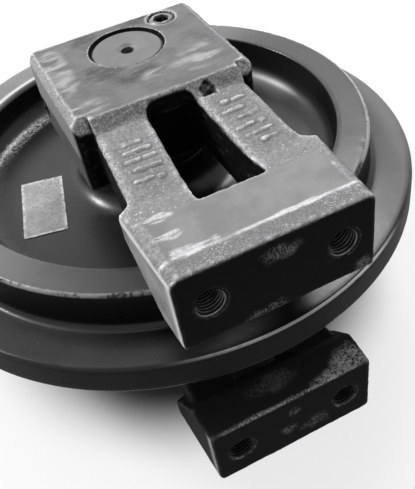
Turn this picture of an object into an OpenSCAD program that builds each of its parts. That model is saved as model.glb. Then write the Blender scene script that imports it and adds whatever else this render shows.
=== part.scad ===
// Front idler of a crawler excavator: a flanged guide wheel that runs on oil-filled bushes
// round a fixed shaft, held by two cast brackets that bolt to the track tensioner's yoke.
// The wheel turns about Z, the wheel's middle plane is at z = 0 and the brackets reach to -Y.

/* [Shaft] */
// Diameter of the fixed shaft
shaft_d = 65; // [60:1:68]
// Depth of each shaft end below the outer face of its bracket
shaft_recess = 2; // [1:0.5:4]
// Chamfer on the shaft ends
shaft_chamfer = 2; // [1:0.5:3]
// Diameter of the puller hole in the upper shaft end
puller_hole_d = 12; // [8:1:16]
// Depth of the puller hole
puller_hole_depth = 26; // [16:1:40]
// Depth of the puller hole's coned mouth
puller_mouth = 2; // [1:0.5:3]
// Diameter of the oil drilling that leads from the lower end to the hub
oil_drill_d = 9; // [6:1:12]
// Diameter of the oil plug
oil_plug_d = 16; // [14:1:20]
// Length of the oil plug
oil_plug_len = 14; // [8:1:20]
// Radial running clearance of the bushes on the shaft
running_gap = 0.05; // [0.02:0.01:0.1]
// Radial clearance of the brackets on the shaft
bracket_fit = 0.05; // [0.02:0.01:0.1]
// Chamfer at the outer mouth of a bracket's shaft bore
bore_chamfer = 1.5; // [0.5:0.5:3]

/* [Wheel] */
// Diameter of the two treads that carry the track links
tread_d = 430; // [420:2:450]
// Width of the rim over both treads
rim_w = 114; // [100:2:120]
// Inner diameter of the rim at its side faces
rim_inner_d = 368; // [356:2:376]
// Diameter of the guide flange between the links
guide_d = 512; // [490:2:524]
// Width of the guide flange at its outer edge
guide_w = 31; // [24:1:40]
// How much wider each flank of the guide flange is at its root
guide_flank = 2.5; // [0:0.5:5]
// Thickness of the web
web_t = 36; // [28:2:44]
// Outer diameter of the hub
hub_d = 128; // [124:1:140]
// Fillet between web and rim
rim_fillet = 20; // [8:1:22]
// Fillet between web and hub
hub_fillet = 24; // [8:1:30]
// Fillet between tread and guide flange
tread_fillet = 7; // [3:1:12]
// Draft of the rim's inner wall, as a run across the wall's height
rim_draft = 5; // [2:1:8]
// Edge radius of the rim and the guide flange
wheel_edge_r = 4; // [2:0.5:6]

/* [Bushes] */
// Wall of a bush
bush_wall = 5; // [4:0.5:7]
// Length of a bush below its flange
bush_len = 32; // [26:1:38]
// Thickness of the thrust flange of a bush
bush_flange_t = 4; // [3:0.5:6]
// How far the thrust flange stands out from the bush
bush_flange_w = 3; // [2:0.5:4]
// Half of the length of the oil chamber between the bushes
oil_chamber_half = 12; // [8:1:16]
// Depth of the oil chamber outside the bushes
oil_chamber_depth = 6; // [3:1:10]
// End play between bush flange and bracket spigot
thrust_gap = 0.3; // [0.2:0.05:0.6]
// Radial clearance of a pressed-in bush in the hub
press_gap = 0.02; // [0:0.01:0.05]

/* [Seals] */
// Gap between the hub's end and the bracket's boss
hub_gap = 2; // [1.5:0.5:3]
// Depth of a seal pocket in the hub or the boss
seal_pocket = 12; // [11:0.5:16]
// Gap between the lapped faces of a seal pair
lapped_gap = 0.2; // [0.1:0.05:0.4]
// Radial width of the lapped face of a seal ring
seal_face_w = 9; // [7:0.5:10]
// Thickness of the lip behind the lapped face
seal_lip_t = 4.5; // [3:0.5:5]
// Radial thickness of a seal ring's tail
seal_tail_w = 4; // [3:0.5:5]
// Clearance round the inside and the back of a seal ring
seal_clear = 1; // [0.5:0.1:1.5]
// Section diameter of the rubber toric rings
toric_d = 7; // [6:0.2:7.4]
// Fitting clearance of the toric rings
toric_gap = 0.15; // [0.1:0.05:0.3]
// Ramp angle of the cones that squeeze the toric rings
toric_ramp = 12; // [6:1:16]
// Section diameter of the shaft O-rings
o_ring_d = 3; // [2.4:0.2:4]
// Fitting clearance of the shaft O-rings
o_ring_gap = 0.1; // [0.05:0.05:0.2]
// Room for the O-ring along its groove
o_ring_room = 0.8; // [0.4:0.1:1.2]
// Height of the O-ring's groove above the inner face of the bracket block
o_ring_rise = 5; // [3:0.5:7]

/* [Bracket block] */
// Width of the bracket block across the track frame's guides
block_w = 162; // [154:2:172]
// Distance from the shaft's axis to the front face of the block
block_front = 88; // [82:1:96]
// Distance from the shaft's axis to the back face of the block
block_back = 46; // [45:1:56]
// Thickness of the block along the shaft
block_t = 68; // [64:1:76]
// Height of the seal boss between the block and the hub
boss_h = 22; // [18:1:28]
// Outer diameter of the seal boss
boss_d = 128; // [124:1:134]
// How far the boss reaches into the block
boss_rise = 10; // [4:1:20]
// Radius of the boss's edges
boss_edge_r = 3; // [1:0.5:5]
// Bevel along the block's outer side edges
block_bevel = 6; // [2:1:9]
// Run of the bevel on the block's front edge beside the legs
front_run = 7; // [3:1:9]
// Fall of the bevel on the block's front edge beside the legs
front_fall = 12; // [6:1:16]
// Radius of the block's upright corners
block_corner_r = 6; // [2:1:10]
// Run and rise of the ramp from the block's outer face to the legs
ramp_run = 10; // [6:1:14]

/* [Bracket legs] */
// Width of one leg
leg_w = 45; // [38:1:48]
// Height of a leg
leg_h = 50; // [40:1:54]
// Gap between the legs at the block
slot_w = 42; // [36:1:50]
// Angle at which the legs spread towards the foot
leg_splay = 3.5; // [1:0.5:5]
// Angle at which the legs' outer faces fall towards the foot
leg_slope = 6.3; // [4:0.1:8]
// Radius of the legs' outer edges
leg_edge_r = 5; // [3:1:10]
// Radius of the legs' edges beside the slot
leg_slot_r = 4; // [2:1:8]
// Radius of the slot's corners at the block
slot_corner_r = 8; // [4:1:12]
// Distance from the slot's end at the block to the block's front face
slot_offset = 2.5; // [1:0.5:4]
// Depth below the block's outer face at which the slot's end steps back
slot_step_drop = 17; // [12:1:24]
// How far the slot's end steps back
slot_step = 4; // [2:1:6]

/* [Yoke foot] */
// Distance from the shaft's axis to the face that meets the yoke
foot_reach = 272; // [268:1:290]
// Width of the foot
foot_w = 158; // [150:2:166]
// Height of the foot along the shaft
foot_h = 70; // [66:1:78]
// How far the foot's outer face lies below the block's outer face
foot_drop = 17; // [12:1:20]
// Depth of the foot's inner face
foot_inner_depth = 35; // [28:1:42]
// Depth of the rough strip along the front edge of the foot
foot_strip = 18; // [10:1:24]
// How far the rough strip stands proud of the ground face
foot_strip_rise = 0.8; // [0.2:0.2:1.6]
// Depth of the ground face and the strip together
foot_ground = 65; // [50:1:72]
// Depth of the foot at its sides
foot_wing = 84; // [76:1:90]
// Depth of the foot beside the legs
foot_back = 92; // [86:1:100]
// Width of the raised border at the sides of the foot's ground face
foot_border = 9; // [5:1:12]
// Angle at which the foot's sides spread away from the yoke
foot_splay = 2.7; // [0:0.1:4]
// Radius of the fillets between the foot's wings and the legs
neck_r = 8; // [3:1:12]
// How far the fillets' web runs up the legs
neck_run = 14; // [8:1:18]
// How far the foot falls from the ground face to the legs
foot_fall = 3; // [1:0.5:5]
// Radius of the foot's outer corners
foot_corner_r = 8; // [3:1:12]
// Radius of the foot's other edges
foot_edge_r = 3; // [1:0.5:5]
// Diameter of the yoke bolts' threads
yoke_bolt_d = 24; // [18:1:27]
// Distance between the yoke bolts across the foot
yoke_pitch_x = 106; // [98:2:112]
// Distance between the yoke bolts of the two brackets
yoke_pitch_z = 194; // [188:2:200]
// Depth of the tapped yoke holes
yoke_hole_depth = 50; // [36:1:54]
// Width of the lead-in chamfer of the tapped holes
yoke_lead_in = 1.5; // [0.5:0.5:3]

/* [Shaft lock] */
// Diameter of the cross pin that locks the shaft
lock_pin_d = 18; // [14:1:20]
// Depth of the cross pin's axis inside the shaft's surface
lock_pin_inset = 2; // [1:0.5:5]
// Depth of the cross pin below the block's outer face
lock_pin_drop = 48; // [44:1:50]
// How far the pin's ends lie inside the block's sides
lock_pin_recess = 14; // [6:1:20]
// Depth of the flat on the pin under the lock bolt
lock_pin_flat = 3; // [2:0.5:5]
// Radial clearance of the pin in the block and the shaft
lock_pin_gap = 0.1; // [0.05:0.05:0.2]
// Thread diameter of the lock bolt
lock_bolt_d = 16; // [12:1:16]
// Head diameter of the lock bolt
lock_head_d = 23; // [20:0.5:24]
// Head height of the lock bolt
lock_head_h = 16; // [12:1:18]
// Bevel on the lock bolt's head and tip
lock_bevel = 1.5; // [0.5:0.5:2]
// Key size of the lock bolt's socket
lock_key = 14; // [10:1:14]
// Distance of the lock bolt from the shaft's axis across the block
lock_bolt_x = 46; // [44:1:52]
// Depth of the bolt's head below the block's outer face
lock_head_recess = 1; // [0.5:0.5:3]
// Radial gap round the bolt's head
lock_head_gap = 1.5; // [1:0.5:1.5]
// Gap between the bolt and its hole, and between its tip and the pin
lock_bolt_gap = 0.15; // [0.1:0.05:0.3]

/* [Hidden] */

$fn = 96;
// Steps in a rounded corner of an outline
corner_steps = 6;
// Overlap of joined bodies and overrun of cuts
over = 1;
// Point angle of a twist drill
drill_point = 118;
// Angle across the centre-drilled mouth of the puller hole
centre_angle = 60;

// Heights along the shaft above the wheel's middle plane
hub_floor = oil_chamber_half + bush_len;
lapped_z = hub_floor + seal_pocket + hub_gap / 2;
hub_face = hub_floor + seal_pocket;
boss_face = hub_face + hub_gap;
spigot_face = hub_floor + bush_flange_t + thrust_gap;
block_in = boss_face + boss_h;
block_out = block_in + block_t;
shaft_end = block_out - shaft_recess;
o_ring_z = block_in + o_ring_rise;
foot_out = block_out - foot_drop;
foot_in = foot_out - foot_h;
lock_pin_z = block_out - lock_pin_drop;
leg_top = block_out - ramp_run + ramp_run * tan(leg_slope);

// Radii round the shaft
shaft_r = shaft_d / 2;
bush_in_r = shaft_r + running_gap;
bush_r = bush_in_r + bush_wall;
flange_r = bush_r + bush_flange_w;
hub_bore_r = bush_r + press_gap;
bracket_bore_r = shaft_r + bracket_fit;
seal_in_r = flange_r + seal_clear;
seal_out_r = seal_in_r + seal_face_w;

// Seal section, measured from the lapped faces into the hub or the boss
seal_near = lapped_gap / 2;
seal_lip_end = seal_near + seal_lip_t;
pocket_mouth = hub_gap / 2;
pocket_floor = pocket_mouth + seal_pocket;
seal_tail_end = pocket_floor - seal_clear;
toric_depth = (seal_lip_end + pocket_floor) / 2;
toric_reach = (toric_d / 2 + toric_gap) / cos(toric_ramp);
toric_r = seal_in_r + seal_tail_w + toric_reach;
function tail_r(depth) = toric_r - toric_reach + (toric_depth - depth) * tan(toric_ramp);
function pocket_r(depth) = toric_r + toric_reach + (toric_depth - depth) * tan(toric_ramp);

// Lock pin and bolt
lock_pin_y = shaft_r - lock_pin_inset;
lock_pin_half = block_w / 2 - lock_pin_recess;
lock_flat_z = lock_pin_z + lock_pin_d / 2 - lock_pin_flat;
lock_seat_z = block_out - lock_head_recess - lock_head_h;
lock_bore_r = lock_head_d / 2 + lock_head_gap;

// Foot
leg_out = slot_w / 2 + leg_w;
leg_end = foot_reach - foot_inner_depth;
leg_len = (leg_end - block_front) / cos(leg_splay) / cos(leg_slope);
leg_root = block_front / 2;
slot_end = foot_reach - foot_ground;
leg_spread = tan(leg_splay);

// Outlines: each point is [x, y, corner radius]
function unit(v) = v / norm(v);
function turned(v, angle) = [v.x * cos(angle) - v.y * sin(angle), v.x * sin(angle) + v.y * cos(angle)];
function round_corner(a, b, c, r) =
    let (
        u = unit(a - b),
        v = unit(c - b),
        half = acos(u * v) / 2,
        middle = b + unit(u + v) * r / sin(half),
        start = b + u * r / tan(half) - middle,
        stop = b + v * r / tan(half) - middle,
        sweep = sign(cross(start, stop)) * 2 * (90 - half)
    )
    [for (i = [0:corner_steps]) middle + turned(start, sweep * i / corner_steps)];
function flat(p) = [p.x, p.y];
function rounded(points) =
    let (count = len(points))
    [for (i = [0:count - 1])
        let (p = points[i])
        each p.z == 0 ? [flat(p)] : round_corner(flat(points[(i + count - 1) % count]), flat(p),
            flat(points[(i + 1) % count]), p.z)];

module both_sides() {
    children();
    mirror([1, 0, 0]) children();
}

module lower() {
    mirror([0, 0, 1]) children();
}

// Extrudes an outline of [y, z] points evenly to both sides along X
module across(width) {
    rotate([90, 0, 90]) translate([0, 0, -width / 2]) linear_extrude(width) children();
}

// Extrudes an outline of [x, z] points along Y from the one place to the other
module along(y_from, y_to) {
    translate([0, y_to, 0]) rotate([90, 0, 0]) linear_extrude(y_to - y_from) children();
}

module across_hole(radius, length) {
    rotate([0, 90, 0]) cylinder(r = radius, h = length, center = true);
}

// Cone-walled pocket for a seal, open towards the lapped faces at z = 0
module seal_pocket_cut(inner_r) {
    rotate_extrude()
        polygon([
            [inner_r, 0],
            [pocket_r(0), 0],
            [pocket_r(pocket_floor), pocket_floor],
            [inner_r, pocket_floor]
        ]);
}

module seal_ring() {
    rotate_extrude()
        polygon([
            [seal_in_r, seal_near],
            [seal_out_r, seal_near],
            [seal_out_r, seal_lip_end],
            [tail_r(seal_lip_end), seal_lip_end],
            [tail_r(seal_tail_end), seal_tail_end],
            [seal_in_r, seal_tail_end]
        ]);
}

module toric() {
    translate([0, 0, toric_depth]) rotate_extrude() translate([toric_r, 0]) circle(d = toric_d, $fn = 32);
}

module on_boss_side() {
    translate([0, 0, lapped_z]) children();
}

module on_hub_side() {
    translate([0, 0, lapped_z]) mirror([0, 0, 1]) children();
}

module wheel_half() {
    tread_r = tread_d / 2;
    rim_r = rim_inner_d / 2;
    rim_z = rim_w / 2;
    web_z = web_t / 2;
    guide_r = guide_d / 2;
    guide_z = guide_w / 2;
    root_z = guide_z + guide_flank;
    hub_r = hub_d / 2;
    chamber_r = hub_bore_r + oil_chamber_depth;
    edge = wheel_edge_r;
    rotate_extrude($fn = 180)
        polygon(rounded([
            [chamber_r, 0, 0],
            [chamber_r, oil_chamber_half, 0],
            [hub_bore_r, oil_chamber_half, 0],
            [hub_bore_r, hub_face, 0],
            [hub_r, hub_face, edge / 2],
            [hub_r + edge / 2, web_z, hub_fillet],
            [rim_r - rim_draft, web_z, rim_fillet],
            [rim_r, rim_z, edge / 2],
            [tread_r, rim_z, edge],
            [tread_r, root_z, tread_fillet],
            [guide_r, guide_z, edge],
            [guide_r, 0, 0]
        ]));
}

module idler_wheel() {
    color("dimgray")
        difference() {
            union() {
                wheel_half();
                lower() wheel_half();
            }
            on_hub_side() seal_pocket_cut(0);
            lower() on_hub_side() seal_pocket_cut(0);
        }
}

module bush() {
    color("darkgoldenrod")
        rotate_extrude()
            polygon([
                [bush_in_r, oil_chamber_half],
                [bush_r, oil_chamber_half],
                [bush_r, hub_floor],
                [flange_r, hub_floor],
                [flange_r, hub_floor + bush_flange_t],
                [bush_in_r, hub_floor + bush_flange_t]
            ]);
}

module shaft_end_hole(radius, depth) {
    translate([0, 0, shaft_end - depth]) cylinder(r = radius, h = depth + over);
}

module puller_hole() {
    radius = puller_hole_d / 2;
    shaft_end_hole(radius, puller_hole_depth);
    translate([0, 0, shaft_end - puller_mouth])
        cylinder(r1 = radius, r2 = radius + puller_mouth * tan(centre_angle), h = puller_mouth);
}

module shaft_half() {
    groove_h = o_ring_d + o_ring_room;
    groove_r = bracket_bore_r - o_ring_d - 2 * o_ring_gap;
    rotate_extrude()
        polygon([
            [0, 0],
            [shaft_r, 0],
            [shaft_r, o_ring_z - groove_h / 2],
            [groove_r, o_ring_z - groove_h / 2],
            [groove_r, o_ring_z + groove_h / 2],
            [shaft_r, o_ring_z + groove_h / 2],
            [shaft_r, shaft_end - shaft_chamfer],
            [shaft_r - shaft_chamfer, shaft_end],
            [0, shaft_end]
        ]);
}

module lock_pin_place() {
    translate([0, lock_pin_y, lock_pin_z]) children();
}

module lock_pin_hole() {
    lock_pin_place() across_hole(lock_pin_d / 2 + lock_pin_gap, block_w + 2 * over);
}

module shaft() {
    color("silver")
        difference() {
            union() {
                shaft_half();
                lower() shaft_half();
            }
            lock_pin_hole();
            lower() lock_pin_hole();
            puller_hole();
            lower() shaft_end_hole(oil_plug_d / 2 + press_gap, oil_plug_len + lock_head_recess);
            translate([0, 0, -shaft_end]) cylinder(d = oil_drill_d, h = shaft_end + oil_drill_d / 2);
            across_hole(oil_drill_d / 2, shaft_d + 2 * over);
        }
}

module shaft_o_ring() {
    color("black")
        translate([0, 0, o_ring_z])
            rotate_extrude()
                translate([bracket_bore_r - o_ring_gap - o_ring_d / 2, 0]) circle(d = o_ring_d, $fn = 32);
}

module oil_plug() {
    key = oil_plug_d / 2;
    face = shaft_end - lock_head_recess;
    color("goldenrod")
        lower()
            difference() {
                translate([0, 0, face - oil_plug_len]) cylinder(d = oil_plug_d, h = oil_plug_len);
                translate([0, 0, face - oil_plug_len / 2])
                    cylinder(d = key / cos(30), h = oil_plug_len, $fn = 6);
            }
}

module lock_pin() {
    flat_w = lock_bolt_d + 2 * over;
    color("slategray")
        difference() {
            lock_pin_place() across_hole(lock_pin_d / 2, 2 * lock_pin_half);
            translate([lock_bolt_x - flat_w / 2, lock_pin_y - lock_pin_d / 2 - over, lock_flat_z])
                cube([flat_w, lock_pin_d + 2 * over, lock_pin_flat + over]);
        }
}

module lock_bolt() {
    head_r = lock_head_d / 2;
    head_top = lock_seat_z + lock_head_h;
    tip = lock_flat_z + lock_bolt_gap;
    color("gray")
        translate([lock_bolt_x, lock_pin_y, 0])
            difference() {
                rotate_extrude()
                    polygon([
                        [0, tip],
                        [lock_bolt_d / 2 - lock_bevel, tip],
                        [lock_bolt_d / 2, tip + lock_bevel],
                        [lock_bolt_d / 2, lock_seat_z],
                        [head_r, lock_seat_z],
                        [head_r, head_top - lock_bevel],
                        [head_r - lock_bevel, head_top],
                        [0, head_top]
                    ]);
                translate([0, 0, head_top - lock_head_h / 2])
                    cylinder(d = lock_key / cos(30), h = lock_head_h, $fn = 6);
            }
}

// Block with upright corners rounded and its outer side and front edges bevelled
module bracket_block() {
    half = block_w / 2;
    intersection() {
        translate([0, 0, block_in])
            linear_extrude(block_t)
                polygon(rounded([
                    [-half, -block_front, block_corner_r],
                    [half, -block_front, block_corner_r],
                    [half, block_back, block_corner_r],
                    [-half, block_back, block_corner_r]
                ]));
        along(-block_front, block_back)
            polygon([
                [-half, block_in],
                [half, block_in],
                [half, block_out - block_bevel],
                [half - block_bevel, block_out],
                [block_bevel - half, block_out],
                [-half, block_out - block_bevel]
            ]);
        across(block_w)
            polygon([
                [-block_front, block_in],
                [-block_front, block_out - front_fall],
                [front_run - block_front, block_out],
                [block_back, block_out],
                [block_back, block_in]
            ]);
    }
}

// Round boss that stands out behind the block
module seal_boss() {
    boss_r = boss_d / 2;
    rotate_extrude()
        polygon(rounded([
            [0, boss_face, 0],
            [boss_r, boss_face, boss_edge_r],
            [boss_r, block_in + boss_rise, boss_edge_r],
            [0, block_in + boss_rise, 0]
        ]));
}

module spigot() {
    translate([0, 0, spigot_face]) cylinder(r = flange_r, h = boss_face + seal_pocket + over - spigot_face);
}

// One leg: a straight beam that falls and spreads towards the foot
module leg() {
    half = leg_w / 2;
    translate([slot_w / 2 + half, -block_front, leg_top])
        rotate([leg_slope, 0, leg_splay])
            rotate([90, 0, 0])
                translate([0, 0, -leg_root])
                    linear_extrude(leg_len + leg_root)
                        polygon(rounded([
                            [-half, -leg_h, leg_slot_r],
                            [half, -leg_h, leg_edge_r],
                            [half, 0, leg_edge_r],
                            [-half, 0, leg_slot_r]
                        ]));
}

// Ramp that carries the block's outer face down to the legs
module leg_ramp() {
    root = front_run + over - block_front;
    across(2 * leg_out)
        polygon([
            [root, block_out - leg_h],
            [root, block_out],
            [-block_front, block_out],
            [-block_front - ramp_run, block_out - ramp_run],
            [-block_front - ramp_run, block_out - leg_h]
        ]);
}

// Foot's section across the shaft, with one rounded side edge, turned by the foot's splay
module foot_side() {
    half = foot_w / 2;
    strip_out = foot_out + foot_strip_rise;
    translate([half, -foot_reach, 0])
        rotate([0, 0, -foot_splay])
            along(-foot_strip, foot_back + neck_run + foot_strip)
                polygon(rounded([
                    [-2 * foot_w, foot_in, 0],
                    [0, foot_in, foot_edge_r],
                    [0, strip_out, foot_corner_r],
                    [-2 * foot_w, strip_out, 0]
                ]));
}

// Shallow ground face of the foot, open towards the legs
module foot_face_cut() {
    half = foot_w / 2 - foot_border;
    translate([-half, foot_strip - foot_reach, foot_out])
        cube([2 * half, foot_ground - foot_strip + over, foot_strip_rise + over]);
}

module foot() {
    half = foot_w / 2;
    wing_half = half + foot_wing * tan(foot_splay);
    strip_out = foot_out + foot_strip_rise;
    back = foot_reach - foot_back;
    neck = leg_out + (back - block_front) * leg_spread;
    neck_top = neck - neck_run * leg_spread;
    intersection() {
        across(2 * wing_half)
            polygon(rounded([
                [-foot_reach, foot_in, foot_edge_r],
                [-foot_reach, strip_out, foot_edge_r],
                [foot_ground - foot_reach, strip_out, 0],
                [foot_ground - foot_reach, foot_out, 0],
                [-back, foot_out - foot_fall, 0],
                [neck_run - back, foot_out - foot_fall, foot_edge_r],
                [foot_inner_depth - foot_reach, foot_in, foot_edge_r]
            ]));
        translate([0, 0, foot_in])
            linear_extrude(strip_out - foot_in)
                polygon(rounded([
                    [-half, -foot_reach, foot_edge_r],
                    [half, -foot_reach, foot_edge_r],
                    [wing_half, foot_wing - foot_reach, foot_edge_r],
                    [neck, -back, neck_r],
                    [neck_top, neck_run - back, 0],
                    [-neck_top, neck_run - back, 0],
                    [-neck, -back, neck_r],
                    [-wing_half, foot_wing - foot_reach, foot_edge_r]
                ]));
        foot_side();
        mirror([1, 0, 0]) foot_side();
    }
}

// Outline of the slot between the legs, with its end at the block moved back by a step
module slot_outline(step) {
    near = step - slot_offset - block_front;
    near_half = slot_w / 2;
    far_half = near_half + (slot_end - block_front) * leg_spread;
    polygon(rounded([
        [-far_half, -slot_end, foot_edge_r],
        [far_half, -slot_end, foot_edge_r],
        [near_half, near, slot_corner_r],
        [-near_half, near, slot_corner_r]
    ]));
}

module slot_cut() {
    step_z = block_out - slot_step_drop;
    translate([0, 0, foot_in - over]) linear_extrude(block_out - foot_in) slot_outline(0);
    translate([0, 0, foot_in - over]) linear_extrude(step_z - foot_in) slot_outline(slot_step);
}

module yoke_hole() {
    radius = yoke_bolt_d / 2;
    point = radius / tan(drill_point / 2);
    translate([yoke_pitch_x / 2, -foot_reach, yoke_pitch_z / 2])
        rotate([-90, 0, 0]) {
            translate([0, 0, -over]) cylinder(r = radius, h = yoke_hole_depth + over);
            translate([0, 0, yoke_hole_depth]) cylinder(r1 = radius, r2 = 0, h = point);
            cylinder(r1 = radius + yoke_lead_in, r2 = radius, h = yoke_lead_in);
        }
}

module lock_bolt_hole() {
    translate([lock_bolt_x, lock_pin_y, 0]) {
        translate([0, 0, lock_pin_z]) cylinder(r = lock_bolt_d / 2 + lock_bolt_gap, h = block_t);
        translate([0, 0, lock_seat_z]) cylinder(r = lock_bore_r, h = block_t);
    }
}

module shaft_bore() {
    translate([0, 0, spigot_face - over]) cylinder(r = bracket_bore_r, h = block_out);
    translate([0, 0, block_out - bore_chamfer])
        cylinder(r1 = bracket_bore_r, r2 = bracket_bore_r + bore_chamfer, h = bore_chamfer);
}

module bracket() {
    color("darkgray")
        difference() {
            union() {
                difference() {
                    union() {
                        bracket_block();
                        seal_boss();
                        leg_ramp();
                        foot();
                    }
                    foot_face_cut();
                    slot_cut();
                    on_boss_side() seal_pocket_cut(0);
                }
                both_sides() leg();
                spigot();
            }
            shaft_bore();
            lock_pin_hole();
            lock_bolt_hole();
            both_sides() yoke_hole();
        }
}

module seal_steel() {
    color("lightgray") children();
}

module upper_bush() { bush(); }
module lower_bush() { lower() bush(); }
module upper_moving_seal_ring() { seal_steel() on_hub_side() seal_ring(); }
module lower_moving_seal_ring() { lower() upper_moving_seal_ring(); }
module upper_fixed_seal_ring() { seal_steel() on_boss_side() seal_ring(); }
module lower_fixed_seal_ring() { lower() upper_fixed_seal_ring(); }
module upper_moving_toric() { color("black") on_hub_side() toric(); }
module lower_moving_toric() { lower() upper_moving_toric(); }
module upper_fixed_toric() { color("black") on_boss_side() toric(); }
module lower_fixed_toric() { lower() upper_fixed_toric(); }
module upper_bracket() { bracket(); }
module lower_bracket() { lower() bracket(); }
module upper_shaft_o_ring() { shaft_o_ring(); }
module lower_shaft_o_ring() { lower() shaft_o_ring(); }
module upper_lock_pin() { lock_pin(); }
module lower_lock_pin() { lower() lock_pin(); }
module upper_lock_bolt() { lock_bolt(); }
module lower_lock_bolt() { lower() lock_bolt(); }

idler_wheel();
upper_bush();
lower_bush();
upper_moving_seal_ring();
lower_moving_seal_ring();
upper_moving_toric();
lower_moving_toric();
shaft();
upper_bracket();
lower_bracket();
upper_fixed_seal_ring();
lower_fixed_seal_ring();
upper_fixed_toric();
lower_fixed_toric();
upper_shaft_o_ring();
lower_shaft_o_ring();
upper_lock_pin();
lower_lock_pin();
upper_lock_bolt();
lower_lock_bolt();
oil_plug();
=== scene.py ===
import math

import bmesh
import bpy
import numpy as np
from mathutils import Matrix, Vector


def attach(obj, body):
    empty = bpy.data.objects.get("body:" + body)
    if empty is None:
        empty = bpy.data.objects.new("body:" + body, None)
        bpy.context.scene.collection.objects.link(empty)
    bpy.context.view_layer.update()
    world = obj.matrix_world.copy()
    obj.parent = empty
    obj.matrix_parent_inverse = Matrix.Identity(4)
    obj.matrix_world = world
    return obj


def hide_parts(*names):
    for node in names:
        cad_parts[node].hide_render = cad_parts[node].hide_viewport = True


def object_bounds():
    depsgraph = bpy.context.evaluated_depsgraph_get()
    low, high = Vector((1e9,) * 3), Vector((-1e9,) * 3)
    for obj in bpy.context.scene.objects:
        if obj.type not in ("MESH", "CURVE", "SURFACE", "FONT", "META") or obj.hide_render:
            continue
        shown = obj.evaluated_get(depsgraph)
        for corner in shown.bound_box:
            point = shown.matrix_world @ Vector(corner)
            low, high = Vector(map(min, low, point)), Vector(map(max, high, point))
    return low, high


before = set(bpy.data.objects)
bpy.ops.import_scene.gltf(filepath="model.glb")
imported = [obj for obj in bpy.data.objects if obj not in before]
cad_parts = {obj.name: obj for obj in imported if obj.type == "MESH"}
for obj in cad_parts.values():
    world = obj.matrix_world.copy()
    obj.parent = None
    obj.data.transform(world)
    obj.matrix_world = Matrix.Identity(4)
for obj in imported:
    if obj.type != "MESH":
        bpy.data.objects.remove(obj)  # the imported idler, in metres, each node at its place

mm = 0.001
sameSpot = 1e-6  # points nearer than this are one
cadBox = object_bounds()
scene = bpy.context.scene
scene.view_settings.view_transform = "Standard"
print("loaded", len(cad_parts), "nodes")


# a Wire is one socket inside a finish, and an expression of Wires adds its Math nodes
class Wire:
    def __init__(self, finish, socket):
        self.finish = finish
        self.socket = socket

    def maths(self, operation, *values):
        return self.finish.add("Math", {"operation": operation}, dict(enumerate(values)))

    def __add__(self, other):
        return self.maths("ADD", self, other)

    def __radd__(self, other):
        return self.maths("ADD", other, self)

    def __sub__(self, other):
        return self.maths("SUBTRACT", self, other)

    def __rsub__(self, other):
        return self.maths("SUBTRACT", other, self)

    def __mul__(self, other):
        return self.maths("MULTIPLY", self, other)

    def __rmul__(self, other):
        return self.maths("MULTIPLY", other, self)

    def __pow__(self, other):
        return self.maths("POWER", self, other)

    def __abs__(self):
        return self.maths("ABSOLUTE", self)

    def most(self, other):
        return self.maths("MAXIMUM", self, other)

    def sine(self):
        return self.maths("SINE", self)


class Finish:
    def __init__(self, owner):  # a material or the world
        owner.use_nodes = True
        self.owner = owner
        self.tree = owner.node_tree
        self.tree.nodes.clear()
        self.place = self.add("TexCoord", out="Object")

    def add(self, kind, settings=None, sockets=None, out=0):
        node = self.tree.nodes.new("ShaderNode" + kind)
        for key, value in (settings or {}).items():
            setattr(node, key, value)
        for key, value in (sockets or {}).items():
            self.feed(node.inputs[key], value)
        return Wire(self, node.outputs[out]) if node.outputs else None

    def feed(self, socket, value):
        if isinstance(value, Wire):
            self.tree.links.new(value.socket, socket)
        elif socket.type == "RGBA":
            socket.default_value = (*value, 1)
        else:
            socket.default_value = value

    def scaled(self, stretch):  # the place, stretched along the axes
        return self.add("VectorMath", {"operation": "MULTIPLY"}, {0: self.place, 1: stretch})

    def noise(self, size, detail=2.0, rough=0.5, place=None, twist=0.0):
        return self.add("TexNoise", {}, {"Vector": place or self.place, "Scale": 1 / size,
                                         "Detail": detail, "Roughness": rough, "Distortion": twist})

    def ramp(self, value, low, high):  # 0 below low, 1 above high
        return self.add("MapRange", {"interpolation_type": "SMOOTHSTEP"},
                        {"Value": value, "From Min": low, "From Max": high})

    def band(self, value, low, high):  # 1 between two fades, each given by its start and end
        return self.ramp(value, *low) * (1 - self.ramp(value, *high))

    def mix(self, share, first, second):
        return self.add("Mix", {"data_type": "RGBA"}, {0: share, 6: first, 7: second}, out=2)

    def mask(self, name):  # a value that the mesh carries at its points
        return self.add("Attribute", {"attribute_name": name}, out="Fac")

    def masks(self, names):
        return [self.mask(name) for name in names.split()]

    def parts(self):  # x, y and z of the place
        node = self.add("SeparateXYZ", {}, {0: self.place}).socket.node
        return [Wire(self, socket) for socket in node.outputs]

    def bump(self, height, depth):
        return self.add("Bump", {}, {"Height": height, "Distance": depth})

    def surface(self, **sockets):  # Base_Color stands for the socket Base Color
        named = {key.replace("_", " "): value for key, value in sockets.items()}
        return self.add("BsdfPrincipled", {}, named)

    def close(self, surface, kind="Material"):
        self.add("Output" + kind, {}, {"Surface": surface})
        return self.owner

    def shade(self, **sockets):
        return self.close(self.surface(**sockets))


def newFinish(name):
    return Finish(bpy.data.materials.new(name))


def grey(value):
    return (value, value, value * 1.01)


def spread(x, y):  # distance from an axis, for Wires
    return (x * x + y * y) ** 0.5


# mesh helpers
def newPiece(name, mesh):
    piece = bpy.data.objects.new(name, mesh)
    scene.collection.objects.link(piece)
    return piece


def makePiece(name, corners, faces):
    mesh = bpy.data.meshes.new(name)
    mesh.from_pydata([tuple(corner) for corner in corners], [], faces)
    mesh.update()
    return newPiece(name, mesh)


def readPoints(mesh):
    values = np.empty(len(mesh.vertices) * 3, np.float32)
    mesh.vertices.foreach_get("co", values)
    return values.reshape(-1, 3).astype(float)


def writePoints(mesh, points):
    mesh.vertices.foreach_set("co", points.astype(np.float32).ravel())
    mesh.update()


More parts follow.
